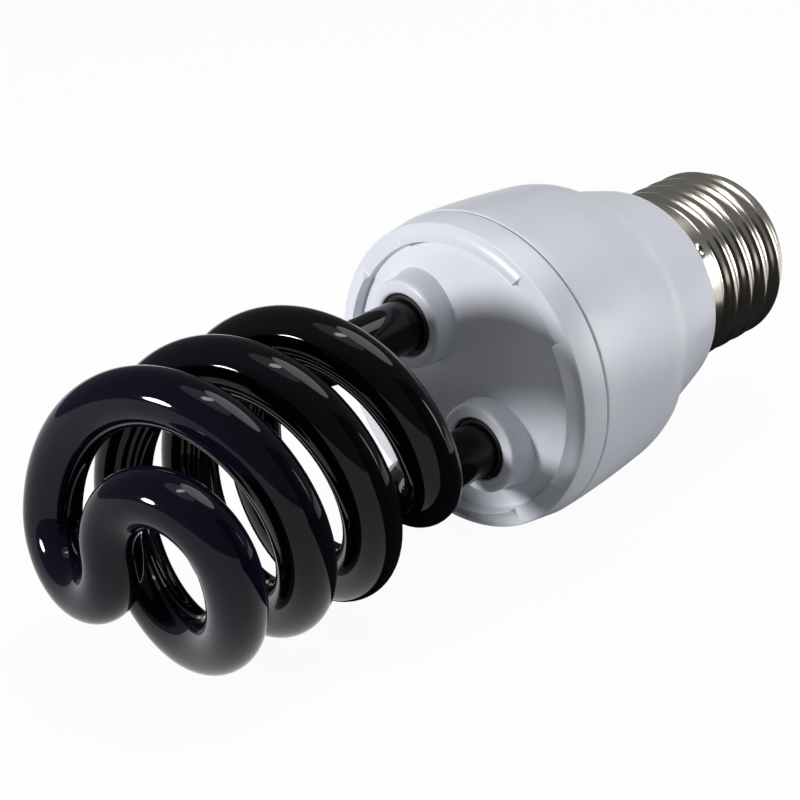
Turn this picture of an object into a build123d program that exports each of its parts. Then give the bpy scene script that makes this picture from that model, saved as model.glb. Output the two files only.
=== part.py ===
"""Spiral black-light lamp of an insect trap, with a screw cap, lying on its side.

The lamp's own axis runs from the tube's tip to the cap. A station is a distance along that axis,
counted from the plane of the cover's rim, and an angle about it is counted from the top towards -Y.
The lamp lies on the housing's front edge and on the first turn of the tube, so the axis is tilted.
"""
import os
from math import atan, atan2, ceil, copysign, cos, degrees, hypot, pi, radians, sin, tan

from build123d import *

# Spiral tube
tube_diameter = 7.4
spiral_radius = 16.1
spiral_pitch = 23.0
spiral_turns = 1.513
spiral_front = 58.0
bridge_rise = 4.1
strand_phase = 263.4
curl_radius = 6.5
curl_angle = 76.7
rise_radius = 6.5
leg_end = 8.0
bend_share = 0.45
corner_push = 0.25

# Front cover
cover_step = 0.06
rim_draft = 0.5
rim_width = 2.4
cover_back = 4.1
rim_height = 1.0
rim_crown = 0.35
dish_depth = 0.9
dish_draft = 0.2
dome_height = 2.1
cover_wall = 1.8
skirt_wall = 1.7
skirt_clearance = 0.15
recess_count = 4
recess_angle = 28.0
recess_phase = 46.0
collar_front = 4.0
collar_radius = 6.3
collar_draft = 0.2
collar_flare = 0.45
collar_flare_length = 1.4
collar_round = 0.8
collar_bore_radius = 4.4
collar_sleeve_end = 6.5
cement_inset = 0.3
cement_back = 5.6

# Housing
seam_gap = 0.2
housing_radius = 22.36
housing_wall = 1.7
shoulder_start = 19.3
shoulder_drop = 1.11
shoulder_ridge = 23.1
ridge_drop = 0.8
shoulder_end = 25.2
valley_rise = 0.95
neck_start = 27.4
neck_radius = 17.95
neck_end = 36.94
neck_end_step = 1.14
housing_end = 38.0
end_face_step = 1.55
body_bulge = 0.17
shoulder_bulge = 0.14
valley_dip = 0.12
neck_bulge = 0.1
end_bulge = 0.24
ledge_width = 1.4
ledge_length = 2.0
spigot_length = 3.2
spigot_clearance = 0.15
spigot_wall = 1.65

# Screw cap
cap_gap = 0.1
cap_sheet = 0.35
band_radius = 12.75
band_length = 4.6
thread_root_radius = 12.18
thread_crest_radius = 13.1
thread_pitch = 3.629
thread_turns = 3.5
thread_start = 44.0
thread_phase = -44.4
thread_arc_radius = 1.2
thread_flank = 45.0
thread_sink = 0.2
thread_length = 15.2
cap_curl_length = 2.4
cap_curl_radius = 10.2
insulator_gap = 0.05
insulator_height = 2.6
insulator_top_radius = 6.4
contact_radius = 4.8
contact_thickness = 1.2
contact_round = 0.5
contact_hole_radius = 1.0
solder_radius = 2.3
solder_height = 0.9
solder_gap = 0.05
stake_count = 4
stake_phase = 20.0
stake_radius = 1.1
stake_depth = 0.2
stake_station = 40.6

# Ballast board
board_thickness = 1.6
board_front = 12.4
board_clearance = 0.25
lead_radius = 0.3
lead_hole_gap = 0.1
lead_stub = 1.0
lead_bend = 0.6
coil_gap = 0.05

# Parts that stand on the board, placed by up and side from the axis
choke_place = (-8.0, 1.4)
choke_core_width = 16.0
choke_core_height = 13.0
choke_core_depth = 5.0
choke_leg = 2.0
choke_lift = 1.5
bobbin_gap = 0.1
bobbin_wall = 0.8
bobbin_width = 11.6
bobbin_depth = 12.0
bobbin_flange = 1.0
bobbin_foot = 2.6
choke_winding_inset = 0.4
choke_winding_round = 1.5
can_place = (6.5, 5.5, 90.0)
can_radius = 5.0
can_height = 17.0
can_round = 0.6
can_lead_pitch = 5.0
ring_place = (6.0, -7.0)
ring_radius = 4.5
ring_bore = 2.5
ring_height = 3.2
ring_coils = 3
coil_angle = 70.0
coil_thickness = 0.4
film_round = 0.6
film_lead_share = 0.7
start_place = (13.2, -1.0)
start_size = (3.5, 7.5, 7.0)
coupling_place = (-3.5, -14.0)
coupling_size = (10.0, 4.0, 8.0)
filter_film_place = (-2.5, 14.0)
filter_film_size = (8.0, 4.0, 8.5)
transistor_places = [(14.0, 7.6, 28.0), (13.0, -9.6, 48.0)]
transistor_radius = 2.4
transistor_flat = 1.2
transistor_height = 4.8
transistor_lift = 1.6
transistor_lead_pitch = 1.27
diode_places = [(-16.2, -3.9, 90.0), (-16.2, 3.9, 90.0), (-11.0, -11.6, 0.0), (-11.0, 11.6, 0.0)]
diode_length = 4.4
diode_radius = 1.3
resistor_places = [(-0.4, -5.6, 90.0), (-0.4, 5.6, 90.0), (16.9, 0.0, 90.0)]
resistor_length = 5.6
resistor_radius = 1.1
trigger_place = (10.8, 12.3, 0.0)
trigger_length = 3.2
trigger_radius = 0.9
axial_overhang = 0.9
axial_round = 0.25
thermistor_place = (4.9, 14.2, 0.0)
thermistor_radius = 3.0
thermistor_thickness = 2.4
thermistor_lead_pitch = 4.0
thermistor_lift = 0.5
drum_place = (6.5, -14.9, 90.0)
drum_radius = 2.5
drum_height = 7.0
drum_flange = 1.0
drum_neck_radius = 1.1
drum_winding_inset = 0.25
drum_lead_pitch = 2.5

# Wires between the tube, the board and the cap
fuse_start = 33.0
fuse_length = 9.0
fuse_radius = 1.5
fuse_round = 0.4
sleeve_wall = 0.4
sleeve_gap = 0.05
sleeve_overhang = 1.5
post_side = 0.9
post_reach = 4.4
post_out = 4.6
post_spread = 2.4
post_gap = 0.05
post_inset = 0.2
tube_lead_radius = 0.25
tube_lead_spread = 1.6
tube_lead_rise = 2.2
tube_lead_bend = 1.0
shell_lead_radius = 0.3
shell_lead_angle = 270.0
shell_lead_over = 0.45
shell_lead_bend = 0.45
shell_lead_tail = 2.0
groove_width = 0.9
groove_gap = 0.05

# Places and tilt that follow from the sizes
tube_radius = tube_diameter / 2
climb = atan(spiral_pitch / (2 * pi * spiral_radius))
cover_radius = housing_radius - cover_step
rim_radius = cover_radius - rim_draft
rim_inner_radius = rim_radius - rim_width
dish_radius = rim_inner_radius - dish_draft
cement_front = collar_front - cement_inset
shoulder_radius = housing_radius - shoulder_drop
shoulder_ridge_radius = shoulder_radius - ridge_drop
shoulder_end_radius = neck_radius + valley_rise
end_face_radius = band_radius + end_face_step
neck_end_radius = end_face_radius + neck_end_step
housing_front = cover_back + seam_gap
housing_bore = housing_radius - housing_wall
skirt_radius = housing_bore - skirt_clearance
touch_lag = (180 - strand_phase) % 180
touch_station = -spiral_front + spiral_pitch * touch_lag / 360
tilt = atan((housing_radius - spiral_radius - tube_radius) / (housing_front - touch_station))
board_back = board_front + board_thickness
band_bore = band_radius - cap_sheet
spigot_radius = band_bore - spigot_clearance
spigot_bore = spigot_radius - spigot_wall
spigot_end = housing_end + spigot_length
folded_radius = band_bore - groove_gap - shell_lead_radius
groove_radius = folded_radius - shell_lead_radius - groove_gap
shell_lead_place_radius = spigot_bore - spigot_clearance - shell_lead_radius
cap_start = housing_end + cap_gap
band_end = cap_start + band_length
thread_end = band_end + thread_length
cap_end = thread_end + cap_curl_length
contact_start = cap_end + insulator_height
contact_end = contact_start + contact_thickness
lamp_end = contact_end + solder_height
lamp_front = spiral_front + bridge_rise + tube_radius
lamp_height = housing_radius * cos(tilt) - housing_front * sin(tilt)
lamp_shift = (lamp_front - lamp_end) / 2 * cos(tilt)

lamp = Plane(
    origin=(lamp_shift, 0, lamp_height),
    x_dir=(-sin(tilt), 0, cos(tilt)),
    z_dir=(cos(tilt), 0, sin(tilt)),
)
lamp_axis = Axis(lamp.origin, lamp.z_dir)
os.makedirs("parts", exist_ok=True)


def polar(radius, angle):
    """Up and side of a point at an angle about the axis."""
    return radius * cos(radians(angle)), radius * sin(radians(angle))


def placed(up, side, station):
    """A point of the lamp in the room."""
    return lamp.from_local_coords(Vector(up, side, station))


def direction(angle):
    """The room's direction away from the axis at an angle."""
    up, side = polar(1, angle)
    return lamp.x_dir * up + lamp.y_dir * side


def across(station):
    """The plane square to the axis at a station, drawn on with up and side."""
    return lamp.offset(station)


def section(up=0.0, side=0.0, station=0.0, angle=0.0):
    """A half section through a line along the axis, drawn on with station and radius."""
    return Plane(origin=placed(up, side, station), x_dir=lamp.z_dir, z_dir=direction(angle + 90))


def upright(up, side, station, angle=0.0):
    """A plane that faces away from the axis at an angle, drawn on with side and station."""
    return Plane(origin=placed(up, side, station), x_dir=direction(angle + 90), z_dir=direction(angle))


def line_along(up, side):
    """A line along the lamp's axis through one place."""
    return Axis(placed(up, side, 0), lamp.z_dir)


def bulged(start, end, bulge):
    """An arc whose middle lies off its chord, outwards for a positive bulge."""
    run = end[0] - start[0]
    drop = end[1] - start[1]
    share = copysign(bulge / hypot(run, drop), run) if run else bulge / hypot(run, drop)
    middle = ((start[0] + end[0]) / 2 - drop * share, (start[1] + end[1]) / 2 + run * share)
    return ThreePointArc(start, middle, end)


def crown_bulge(radius, height):
    """How far a round crown's arc lies off its chord from the rim to the top."""
    return (radius**2 + height**2) / (2 * height) * (1 - cos(atan(height / radius)))


def wire(points, bend, radius):
    """A round wire through points given by up, side and station, with one bend radius."""
    with BuildPart() as piece:
        with BuildLine() as route:
            FilletPolyline(*[placed(*point) for point in points], radius=bend)
        with BuildSketch(Plane(origin=route.line @ 0, z_dir=route.line % 0)):
            Circle(radius)
        sweep(path=route.line)
    return piece.part


# One strand's centre line runs from the middle of the bridge to the end of its leg.
def bridge_points(phase, steps=8):
    """Half circle from the axis out to the strand's start, which rises towards the tip."""
    start_slope = spiral_pitch / 4 / bridge_rise
    points = []
    for step in range(steps):
        share = 1 - step / steps
        up_a, side_a = polar(spiral_radius / 2, phase)
        up_b, side_b = polar(spiral_radius / 2, phase - 180 * share)
        lift = start_slope * share + (3 - 2 * start_slope) * share**2 + (start_slope - 2) * share**3
        points.append((up_a + up_b, side_a + side_b, -spiral_front - bridge_rise * lift))
    return points


def turn_points(phase, steps_per_turn=16):
    """The strand's turns at full radius."""
    steps = ceil(spiral_turns * steps_per_turn)
    points = []
    for step in range(steps + 1):
        turned = spiral_turns * step / steps
        points.append((*polar(spiral_radius, phase + 360 * turned), -spiral_front + spiral_pitch * turned))
    return points


def leg_points(phase, steps=4):
    """The strand curls inwards, rises to the axial direction and runs straight into its collar."""
    heading = phase + 360 * spiral_turns + 90
    up, side, station = turn_points(phase)[-1]
    inward = polar(curl_radius, heading + 90)
    points = []
    for step in range(1, steps + 1):
        turned = curl_angle * step / steps
        swung = polar(curl_radius, heading - 90 + turned)
        rise = curl_radius * radians(turned) * tan(climb)
        points.append((up + inward[0] + swung[0], side + inward[1] + swung[1], station + rise))
    up, side, station = points[-1]
    ahead = polar(1, heading + curl_angle)
    for step in range(1, steps + 1):
        slope = climb + (pi / 2 - climb) * step / steps
        reach = rise_radius * (sin(slope) - sin(climb))
        rise = rise_radius * (cos(climb) - cos(slope))
        points.append((up + ahead[0] * reach, side + ahead[1] * reach, station + rise))
    up, side, station = points[-1]
    points.append((up, side, leg_end))
    return points


def strand_points(phase):
    """All points of one strand, from the middle of the bridge to its end."""
    return bridge_points(phase) + turn_points(phase) + leg_points(phase)


def rounded_route(points):
    """Corner points and bend radii whose straight runs and arcs follow a smooth curve's points."""
    spots = [Vector(*point) for point in points]
    corners = spots[:2]
    for before, here, after in zip(spots[1:-2], spots[2:-2], spots[3:-1]):
        corners.append(here + (here - (before + after) / 2) * corner_push)
    corners += spots[-2:]
    bends = []
    for before, here, after in zip(corners, corners[1:], corners[2:]):
        turn = radians((here - before).get_angle(after - here))
        run = min((here - before).length, (after - here).length)
        bends.append(bend_share * run / tan(turn / 2))
    return corners, bends


first_strand = strand_points(strand_phase)
second_strand = strand_points(strand_phase + 180)
leg_places = [first_strand[-1][:2], second_strand[-1][:2]]
leg_distance = hypot(*leg_places[0])
leg_angles = [degrees(atan2(side, up)) for up, side in leg_places]

# Spiral tube, one sealed glass tube from leg to leg over the bridge
corners, bends = rounded_route(first_strand[:0:-1] + second_strand)
with BuildPart() as spiral_tube:
    with BuildLine() as route:
        FilletPolyline(*[placed(*corner) for corner in corners], radius=bends)
    with BuildSketch(Plane(origin=route.line @ 0, z_dir=route.line % 0)):
        Circle(tube_radius)
    sweep(path=route.line)
spiral_tube.part.label = "spiral_tube"
export_step(spiral_tube.part, "parts/spiral_tube.step")

# Cement rings that hold the legs in the cover's collars
with BuildPart() as tube_cement:
    with BuildSketch(across(-cement_front)):
        with Locations(*leg_places):
            Circle(collar_bore_radius)
            Circle(tube_radius, mode=Mode.SUBTRACT)
    extrude(amount=cement_front + cement_back)
tube_cement.part.label = "tube_cement"
export_step(tube_cement.part, "parts/tube_cement.step")

# Front cover, with its dished floor, its skirt and a collar for each leg
floor_bulge = crown_bulge(dish_radius, dome_height)
with BuildPart() as front_cover:
    with BuildSketch(section()):
        with BuildLine():
            Line((cover_back, cover_radius), (0, rim_radius))
            bulged((-rim_height, rim_inner_radius), (0, rim_radius), rim_crown)
            Line((-rim_height, rim_inner_radius), (dish_depth, dish_radius))
            bulged((dish_depth - dome_height, 0), (dish_depth, dish_radius), floor_bulge)
            Line((dish_depth - dome_height, 0), (dish_depth - dome_height + cover_wall, 0))
            bulged(
                (dish_depth - dome_height + cover_wall, 0),
                (dish_depth + cover_wall, skirt_radius - skirt_wall),
                floor_bulge,
            )
            Polyline(
                (dish_depth + cover_wall, skirt_radius - skirt_wall),
                (board_front, skirt_radius - skirt_wall),
                (board_front, skirt_radius),
                (cover_back, skirt_radius),
                (cover_back, cover_radius),
            )
        make_face()
    revolve(axis=lamp_axis)
    for up, side in leg_places:
        with BuildSketch(section(up, side)):
            with BuildLine():
                Polyline(
                    (collar_round - collar_front, collar_radius),
                    (dish_depth - collar_flare_length, collar_radius + collar_draft),
                    (dish_depth, collar_radius + collar_draft + collar_flare),
                    (dish_depth + cover_wall / 2, collar_radius),
                    (collar_sleeve_end, collar_radius),
                    (collar_sleeve_end, 0),
                    (-collar_front, 0),
                    (-collar_front, collar_radius - collar_round),
                )
                RadiusArc(
                    (-collar_front, collar_radius - collar_round),
                    (collar_round - collar_front, collar_radius),
                    collar_round,
                )
            make_face()
        revolve(axis=line_along(up, side))
    with BuildSketch(across(-collar_front)):
        with Locations(*leg_places):
            Circle(collar_bore_radius)
    extrude(amount=collar_front + collar_sleeve_end, mode=Mode.SUBTRACT)
    with BuildSketch(across(0)):
        with PolarLocations(0, recess_count, start_angle=recess_phase):
            Polygon(
                (0, 0),
                polar(cover_radius * 2, -recess_angle / 2),
                polar(cover_radius * 2, recess_angle / 2),
                align=None,
            )
        Circle(dish_radius - dome_height, mode=Mode.SUBTRACT)
    extrude(amount=-rim_height, mode=Mode.SUBTRACT)
front_cover.part.label = "front_cover"
export_step(front_cover.part, "parts/front_cover.step")

# Housing, with the ledge for the board inside and the spigot for the cap
with BuildPart() as housing:
    with BuildSketch(section()):
        with BuildLine():
            bulged((housing_front, housing_radius), (shoulder_start, shoulder_radius), body_bulge)
            bulged((shoulder_start, shoulder_radius), (shoulder_ridge, shoulder_ridge_radius), shoulder_bulge)
            Line((shoulder_ridge, shoulder_ridge_radius), (shoulder_end, shoulder_end_radius))
            bulged((shoulder_end, shoulder_end_radius), (neck_start, neck_radius), -valley_dip)
            bulged((neck_start, neck_radius), (neck_end, neck_end_radius), neck_bulge)
            bulged((neck_end, neck_end_radius), (housing_end, end_face_radius), end_bulge)
            Polyline(
                (housing_end, end_face_radius),
                (housing_end, spigot_radius),
                (spigot_end, spigot_radius),
                (spigot_end, spigot_bore),
                (housing_end - housing_wall, spigot_bore),
                (housing_end - housing_wall, neck_end_radius - housing_wall),
                (neck_start, neck_radius - housing_wall),
                (shoulder_end - housing_wall / 2, shoulder_end_radius - housing_wall),
                (shoulder_start, shoulder_radius - housing_wall),
                (board_back + ledge_length, shoulder_radius - housing_wall),
                (board_back + ledge_length, housing_bore - ledge_width),
                (board_back, housing_bore - ledge_width),
                (board_back, housing_bore),
                (housing_front, housing_bore),
                (housing_front, housing_radius),
            )
        make_face()
    revolve(axis=lamp_axis)
    with BuildSketch(across(spigot_end)):
        with PolarLocations(groove_radius, 1, start_angle=shell_lead_angle):
            Rectangle(spigot_radius, groove_width, align=(Align.MIN, Align.CENTER))
    extrude(amount=-(shell_lead_tail + groove_gap), mode=Mode.SUBTRACT)
housing.part.label = "housing"
export_step(housing.part, "parts/housing.step")


# Screw cap, a thin shell whose thread is pressed into the sheet
def cap_form(inset):
    """The shell's outer form, or its inner one when inset by the sheet."""
    crown = thread_crest_radius - thread_arc_radius
    knuckle = thread_arc_radius - inset
    foot = thread_root_radius - inset - thread_sink
    tip = (knuckle * sin(radians(thread_flank)), knuckle * cos(radians(thread_flank)))
    foot_width = tip[0] + (crown + tip[1] - foot) / tan(radians(thread_flank))
    root = thread_root_radius - inset
    with BuildPart() as form:
        with BuildSketch(section()):
            Polygon(
                (cap_start - inset, 0),
                (cap_start - inset, band_radius - inset),
                (band_end - inset, band_radius - inset),
                (band_end - inset + band_radius - thread_root_radius, root),
                (thread_end - inset, root),
                (cap_end + inset, cap_curl_radius - 2 * inset),
                (cap_end + inset, 0),
                align=None,
            )
        revolve(axis=lamp_axis)
        outward = direction(thread_phase)
        seat = Plane(origin=placed(0, 0, thread_start), x_dir=outward, z_dir=lamp.z_dir)
        turn = Helix(pitch=thread_pitch, height=thread_pitch * thread_turns, radius=crown)
        turn = turn.moved(seat.location)
        with BuildSketch(Plane(origin=turn @ 0, x_dir=outward, z_dir=turn % 0)):
            with BuildLine():
                ThreePointArc((tip[1], -tip[0]), (knuckle, 0), (tip[1], tip[0]))
                Polyline(
                    (tip[1], tip[0]),
                    (foot - crown, foot_width),
                    (foot - crown, -foot_width),
                    (tip[1], -tip[0]),
                )
            make_face()
        sweep(path=turn, is_frenet=True)
    return form.part


with BuildPart() as cap_shell:
    add(cap_form(0))
    add(cap_form(cap_sheet), mode=Mode.SUBTRACT)
    for stake in range(stake_count):
        with Locations(placed(*polar(band_radius + stake_radius - stake_depth,
                                     stake_phase + 360 * stake / stake_count), stake_station)):
            Sphere(stake_radius, mode=Mode.SUBTRACT)
cap_shell.part.label = "cap_shell"
export_step(cap_shell.part, "parts/cap_shell.step")

# Insulator that fills the cap's end
with BuildPart() as cap_insulator:
    with BuildSketch(section()):
        Polygon(
            (thread_end + 2 * insulator_gap, contact_hole_radius),
            (thread_end + 2 * insulator_gap, thread_root_radius - cap_sheet * 2),
            (cap_end - insulator_gap, cap_curl_radius - cap_sheet * 2),
            (cap_end + insulator_gap, cap_curl_radius - cap_sheet * 2),
            (contact_start, insulator_top_radius),
            (contact_start, contact_hole_radius),
            align=None,
        )
    revolve(axis=lamp_axis)
cap_insulator.part.label = "cap_insulator"
export_step(cap_insulator.part, "parts/cap_insulator.step")

# Centre contact and the solder that closes its hole
with BuildPart() as centre_contact:
    with BuildSketch(across(contact_start)):
        Circle(contact_radius)
    extrude(amount=contact_thickness)
    fillet(centre_contact.edges().sort_by(lamp_axis)[-1], contact_round)
    with BuildSketch(across(contact_start)):
        Circle(contact_hole_radius)
    extrude(amount=contact_thickness, mode=Mode.SUBTRACT)
centre_contact.part.label = "centre_contact"
export_step(centre_contact.part, "parts/centre_contact.step")

solder_bulge = crown_bulge(solder_radius, solder_height)
with BuildPart() as centre_solder:
    with BuildSketch(section()):
        with BuildLine():
            Polyline(
                (contact_end + solder_height, 0),
                (contact_start + contact_thickness / 2, 0),
                (contact_start + contact_thickness / 2, contact_hole_radius - solder_gap),
                (contact_end, contact_hole_radius - solder_gap),
                (contact_end, solder_radius),
            )
            bulged((contact_end, solder_radius), (contact_end + solder_height, 0), solder_bulge)
        make_face()
    revolve(axis=lamp_axis)
centre_solder.part.label = "centre_solder"
export_step(centre_solder.part, "parts/centre_solder.step")


# Forms shared by the parts that stand on the board
def with_leads(body, spots, lift=0.0):
    """The body with a straight lead under each spot, down through the board."""
    with BuildPart() as piece:
        add(body)
        with BuildSketch(across(board_front - lead_stub)):
            with Locations(*spots):
                Circle(lead_radius)
        extrude(amount=lead_stub + board_thickness + lift)
    return piece.part


def film_capacitor(place, size):
    """A dipped box on two leads."""
    with BuildPart() as body:
        with BuildSketch(across(board_back)):
            with Locations(place):
                Rectangle(size[0], size[1])
        extrude(amount=size[2])
        fillet(body.edges(), film_round)
    return with_leads(body.part, film_lead_spots(place, size))


def film_lead_spots(place, size):
    """Where the two leads of a dipped box pass the board."""
    half = film_lead_share * max(size[0], size[1]) / 2
    lengthwise = (half, 0) if size[0] > size[1] else (0, half)
    return [
        (place[0] + lengthwise[0], place[1] + lengthwise[1]),
        (place[0] - lengthwise[0], place[1] - lengthwise[1]),
    ]


def row_spots(place, pitch, counts=(-1, 1)):
    """Spots on both sides of a place, along the place's angle."""
    up, side, angle = place
    step = polar(pitch, angle)
    return [(up + step[0] * count, side + step[1] * count) for count in counts]


def axial_spots(place, length):
    """Where the two bent leads of a lying part pass the board."""
    return row_spots(place, length / 2 + axial_overhang)


def axial_part(place, length, radius):
    """A lying round body whose one wire runs through it and bends down into the board."""
    up, side, angle = place
    with BuildPart() as body:
        with BuildSketch(Plane(origin=placed(up, side, board_back + radius), z_dir=direction(angle))):
            Circle(radius)
        extrude(amount=length / 2, both=True)
        fillet(body.edges().filter_by(GeomType.CIRCLE), axial_round)
        start, end = axial_spots(place, length)
        low = board_front - lead_stub
        high = board_back + radius
        add(wire([(*start, low), (*start, high), (*end, high), (*end, low)], lead_bend, lead_radius))
    return body.part


# Ballast board, with a hole for each lead and each post
def post_spots():
    """The two posts outside each leg, with the angle they face."""
    spots = []
    for angle in leg_angles:
        for count in (-1, 1):
            out = polar(leg_distance + post_out, angle)
            spread = polar(post_spread * count, angle + 90)
            spots.append((out[0] + spread[0], out[1] + spread[1], angle))
    return spots


lead_spots = [(0, 0), polar(shell_lead_place_radius, shell_lead_angle)]
lead_spots += row_spots(can_place, can_lead_pitch / 2)
lead_spots += row_spots(thermistor_place, thermistor_lead_pitch / 2)
lead_spots += row_spots(drum_place, drum_lead_pitch / 2)
lead_spots += film_lead_spots(start_place, start_size)
lead_spots += film_lead_spots(coupling_place, coupling_size)
lead_spots += film_lead_spots(filter_film_place, filter_film_size)
for place in transistor_places:
    lead_spots += row_spots(place, transistor_lead_pitch, (-1, 0, 1))
for place in diode_places:
    lead_spots += axial_spots(place, diode_length)
for place in resistor_places:
    lead_spots += axial_spots(place, resistor_length)
lead_spots += axial_spots(trigger_place, trigger_length)

with BuildPart() as ballast_board:
    with BuildSketch(across(board_front)):
        Circle(housing_bore - board_clearance)
        with Locations(*lead_spots):
            Circle(lead_radius + lead_hole_gap, mode=Mode.SUBTRACT)
        for up, side, angle in post_spots():
            with Locations(Location((up, side, 0), (0, 0, angle))):
                Rectangle(post_side + 2 * post_gap, post_side + 2 * post_gap, mode=Mode.SUBTRACT)
    extrude(amount=board_thickness)
ballast_board.part.label = "ballast_board"
export_step(ballast_board.part, "parts/ballast_board.step")

# Posts beside the legs, and the tube's own leads to them
with BuildPart() as lead_posts:
    for up, side, angle in post_spots():
        with BuildSketch(across(board_front - post_reach)):
            with Locations(Location((up, side, 0), (0, 0, angle))):
                Rectangle(post_side, post_side)
        extrude(amount=post_reach + board_thickness - post_inset)
lead_posts.part.label = "lead_posts"
export_step(lead_posts.part, "parts/lead_posts.step")

with BuildPart() as tube_leads:
    for angle in leg_angles:
        for count in (-1, 1):
            start = polar(tube_lead_spread * count, angle + 90)
            spread = polar(post_spread * count, angle + 90)
            leg = polar(leg_distance, angle)
            end = polar(leg_distance + post_out - post_side / 2 - post_gap, angle)
            begin = (leg[0] + start[0], leg[1] + start[1])
            high = leg_end + tube_lead_rise
            add(wire(
                [(*begin, leg_end), (*begin, high), (end[0] + spread[0], end[1] + spread[1], high)],
                tube_lead_bend,
                tube_lead_radius,
            ))
tube_leads.part.label = "tube_leads"
export_step(tube_leads.part, "parts/tube_leads.step")

# Main choke: ferrite core, bobbin on its middle leg, and winding
window_width = choke_core_width / 2 - 2 * choke_leg
window_height = choke_core_height - 2 * choke_leg
window_centre = choke_leg + window_width / 2
window_station = board_back + choke_lift + choke_core_height / 2
tube_width = 2 * (choke_leg + bobbin_gap + bobbin_wall)
tube_depth = choke_core_depth + 2 * (bobbin_gap + bobbin_wall)
coil_height = window_height - 2 * (bobbin_gap + bobbin_flange + coil_gap)
flange_station = window_station - window_height / 2 + bobbin_gap

with BuildPart() as choke_core:
    with BuildSketch(upright(*choke_place, window_station)):
        Rectangle(choke_core_width, choke_core_height)
        with Locations((window_centre, 0), (-window_centre, 0)):
            Rectangle(window_width, window_height, mode=Mode.SUBTRACT)
    extrude(amount=choke_core_depth / 2, both=True)
choke_core.part.label = "choke_core"
export_step(choke_core.part, "parts/choke_core.step")

with BuildPart() as choke_bobbin:
    for station in (flange_station, flange_station + window_height - 2 * bobbin_gap - bobbin_flange):
        with BuildSketch(across(station)):
            with Locations(choke_place):
                Rectangle(bobbin_depth, bobbin_width)
        extrude(amount=bobbin_flange)
    with BuildSketch(across(flange_station)):
        with Locations(choke_place):
            Rectangle(tube_depth, tube_width)
    extrude(amount=window_height - 2 * bobbin_gap)
    with BuildSketch(across(board_back)):
        with Locations(
            (choke_place[0] - (bobbin_depth - bobbin_foot) / 2, choke_place[1]),
            (choke_place[0] + (bobbin_depth - bobbin_foot) / 2, choke_place[1]),
        ):
            Rectangle(bobbin_foot, bobbin_width)
    extrude(amount=flange_station - board_back)
    with BuildSketch(across(flange_station)):
        with Locations(choke_place):
            Rectangle(choke_core_depth + 2 * bobbin_gap, 2 * (choke_leg + bobbin_gap))
    extrude(amount=window_height, mode=Mode.SUBTRACT)
choke_bobbin.part.label = "choke_bobbin"
export_step(choke_bobbin.part, "parts/choke_bobbin.step")

with BuildPart() as choke_winding:
    with BuildSketch(across(flange_station + bobbin_flange + coil_gap)):
        with Locations(choke_place):
            RectangleRounded(
                bobbin_depth - 2 * choke_winding_inset,
                bobbin_width - 2 * choke_winding_inset,
                choke_winding_round,
            )
            Rectangle(tube_depth + 2 * coil_gap, tube_width + 2 * coil_gap, mode=Mode.SUBTRACT)
    extrude(amount=coil_height)
choke_winding.part.label = "choke_winding"
export_step(choke_winding.part, "parts/choke_winding.step")

# Driver ring and its three windings
ring_station = board_back + coil_thickness + coil_gap
with BuildPart() as ring_core:
    with BuildSketch(across(ring_station)):
        with Locations(ring_place):
            Circle(ring_radius)
            Circle(ring_bore, mode=Mode.SUBTRACT)
    extrude(amount=ring_height)
ring_core.part.label = "ring_core"
export_step(ring_core.part, "parts/ring_core.step")

with BuildPart() as ring_windings:
    for count in range(ring_coils):
        with BuildSketch(section(*ring_place, ring_station + ring_height / 2, 360 * count / ring_coils)):
            with Locations((0, (ring_radius + ring_bore) / 2)):
                Rectangle(
                    ring_height + 2 * (coil_gap + coil_thickness),
                    ring_radius - ring_bore + 2 * (coil_gap + coil_thickness),
                )
                Rectangle(
                    ring_height + 2 * coil_gap,
                    ring_radius - ring_bore + 2 * coil_gap,
                    mode=Mode.SUBTRACT,
                )
        revolve(axis=line_along(*ring_place), revolution_arc=coil_angle)
ring_windings.part.label = "ring_windings"
export_step(ring_windings.part, "parts/ring_windings.step")

# Electrolytic can
with BuildPart() as can:
    with BuildSketch(across(board_back)):
        with Locations(can_place[:2]):
            Circle(can_radius)
    extrude(amount=can_height)
    fillet(can.edges().sort_by(lamp_axis)[-1], can_round)
electrolytic_capacitor = with_leads(can.part, row_spots(can_place, can_lead_pitch / 2))
electrolytic_capacitor.label = "electrolytic_capacitor"
export_step(electrolytic_capacitor, "parts/electrolytic_capacitor.step")

# Dipped film capacitors
start_capacitor = film_capacitor(start_place, start_size)
start_capacitor.label = "start_capacitor"
export_step(start_capacitor, "parts/start_capacitor.step")

coupling_capacitor = film_capacitor(coupling_place, coupling_size)
coupling_capacitor.label = "coupling_capacitor"
export_step(coupling_capacitor, "parts/coupling_capacitor.step")

filter_capacitor = film_capacitor(filter_film_place, filter_film_size)
filter_capacitor.label = "filter_capacitor"
export_step(filter_capacitor, "parts/filter_capacitor.step")

# Two switching transistors, each a round body with one flat face on three leads
with BuildPart() as power_transistors:
    for up, side, angle in transistor_places:
        with BuildSketch(across(board_back + transistor_lift)):
            with Locations(Location((up, side, 0), (0, 0, angle))):
                Circle(transistor_radius)
                with Locations((0, -transistor_flat)):
                    Rectangle(
                        2 * transistor_radius,
                        transistor_radius,
                        align=(Align.CENTER, Align.MAX),
                        mode=Mode.SUBTRACT,
                    )
        extrude(amount=transistor_height)
        with BuildSketch(across(board_front - lead_stub)):
            with Locations(*row_spots((up, side, angle), transistor_lead_pitch, (-1, 0, 1))):
                Circle(lead_radius)
        extrude(amount=lead_stub + board_thickness + transistor_lift)
power_transistors.part.label = "power_transistors"
export_step(power_transistors.part, "parts/power_transistors.step")

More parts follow.
